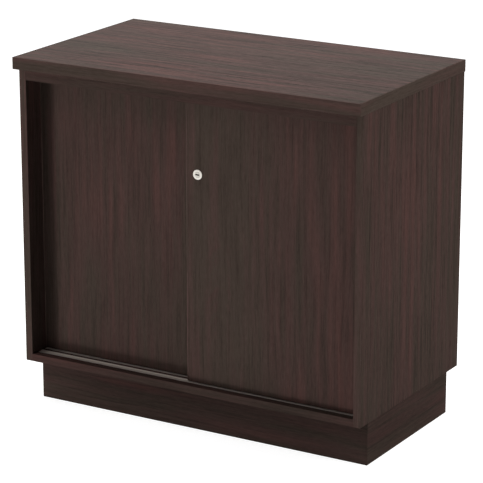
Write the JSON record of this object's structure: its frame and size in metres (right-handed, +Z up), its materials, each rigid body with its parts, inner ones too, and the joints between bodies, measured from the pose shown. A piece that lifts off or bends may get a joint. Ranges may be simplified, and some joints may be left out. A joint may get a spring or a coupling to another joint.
{
  "type": "office credenza",
  "caption": "Low office credenza in dark walnut board: worktop, recessed plinth, adjustable shelf and overlapping sliding doors on rollers, with a turning key lock.",
  "frame": {"origin": "on the floor, under the middle of the worktop", "axes": "+Z up, +X along the cabinet's width to the viewer's right, -Y out of the door front"},
  "size_m": [0.8, 0.45, 0.75],
  "materials": {
    "walnut_board": "dark walnut melamine, satin",
    "walnut_band": "dark walnut edge band, satin",
    "walnut_inside": "dark walnut melamine, matt",
    "pale_softwood": "sawn softwood",
    "satin_aluminium": "satin",
    "grey_nylon": "moulded, matt",
    "white_nylon": "turned, matt",
    "bright_steel": "zinc plated",
    "nickel_plate": "bright nickel"
  },
  "bodies": {
    "carcass": {"top_panel": "walnut_board", "top_front_band": "walnut_band", "top_back_band": "walnut_band", "top_left_band": "walnut_band", "top_right_band": "walnut_band", "left_side_panel": "walnut_board", "left_side_band": "walnut_band", "right_side_panel": "walnut_board", "right_side_band": "walnut_band", "bottom_panel": "walnut_board", "bottom_band": "walnut_band", "front_rail": "walnut_board", "rear_rail": "walnut_inside", "back_panel": "walnut_inside", "shelf": "walnut_inside", "shelf_band": "walnut_band", "shelf_pin_left_front": "bright_steel", "shelf_pin_left_rear": "bright_steel", "shelf_pin_right_front": "bright_steel", "shelf_pin_right_rear": "bright_steel", "plinth_front": "walnut_board", "plinth_right": "walnut_board", "plinth_back": "walnut_board", "plinth_left": "walnut_board", "corner_block_front_left": "pale_softwood", "corner_block_front_right": "pale_softwood", "corner_block_back_right": "pale_softwood", "corner_block_back_left": "pale_softwood", "front_lower_track": "satin_aluminium", "rear_lower_track": "satin_aluminium", "upper_track": "satin_aluminium"},
    "front_door": {"front_door_panel": "walnut_board", "front_door_left_band": "walnut_band", "front_door_right_band": "walnut_band", "front_door_left_roller_housing": "grey_nylon", "front_door_left_roller_axle": "bright_steel", "front_door_left_top_guide": "grey_nylon", "front_door_right_roller_housing": "grey_nylon", "front_door_right_roller_axle": "bright_steel", "front_door_right_top_guide": "grey_nylon", "lock_body": "nickel_plate", "lock_nut": "bright_steel"},
    "rear_door": {"rear_door_panel": "walnut_board", "rear_door_left_band": "walnut_band", "rear_door_right_band": "walnut_band", "rear_door_left_roller_housing": "grey_nylon", "rear_door_left_roller_axle": "bright_steel", "rear_door_left_top_guide": "grey_nylon", "rear_door_right_roller_housing": "grey_nylon", "rear_door_right_roller_axle": "bright_steel", "rear_door_right_top_guide": "grey_nylon", "lock_catch": "bright_steel"},
    "front_door_left_wheel": {"front_door_left_roller_wheel": "white_nylon"},
    "front_door_right_wheel": {"front_door_right_roller_wheel": "white_nylon"},
    "rear_door_left_wheel": {"rear_door_left_roller_wheel": "white_nylon"},
    "rear_door_right_wheel": {"rear_door_right_roller_wheel": "white_nylon"},
    "lock_core": {"key_plug": "nickel_plate", "lock_cam": "bright_steel", "cam_screw": "bright_steel"}
  },
  "joints": [
    {"name": "front_door_slide", "type": "slide", "parent": "carcass", "child": "front_door", "axis": [1, 0, 0], "range_m": [-0.368, 0]},
    {"name": "rear_door_slide", "type": "slide", "parent": "carcass", "child": "rear_door", "axis": [1, 0, 0], "range_m": [0, 0.368]},
    {"name": "front_door_left_wheel_spin", "type": "hinge", "parent": "front_door", "child": "front_door_left_wheel", "pos_m": [0.0465, -0.173, 0.1211], "axis": [0, 1, 0], "continuous": true},
    {"name": "front_door_right_wheel_spin", "type": "hinge", "parent": "front_door", "child": "front_door_right_wheel", "pos_m": [0.3215, -0.173, 0.1211], "axis": [0, 1, 0], "continuous": true},
    {"name": "rear_door_left_wheel_spin", "type": "hinge", "parent": "rear_door", "child": "rear_door_left_wheel", "pos_m": [-0.3215, -0.1485, 0.1211], "axis": [0, 1, 0], "continuous": true},
    {"name": "rear_door_right_wheel_spin", "type": "hinge", "parent": "rear_door", "child": "rear_door_right_wheel", "pos_m": [-0.0465, -0.1485, 0.1211], "axis": [0, 1, 0], "continuous": true},
    {"name": "lock_turn", "type": "hinge", "parent": "front_door", "child": "lock_core", "pos_m": [0.0135, -0.181, 0.55], "axis": [0, -1, 0], "range_deg": [0, 90]}
  ],
  "couplings": [
    {"joint": "front_door_left_wheel_spin", "follows": "front_door_slide", "rad_per_m": 100},
    {"joint": "front_door_right_wheel_spin", "follows": "front_door_slide", "rad_per_m": 100},
    {"joint": "rear_door_left_wheel_spin", "follows": "rear_door_slide", "rad_per_m": 100},
    {"joint": "rear_door_right_wheel_spin", "follows": "rear_door_slide", "rad_per_m": 100}
  ]
}
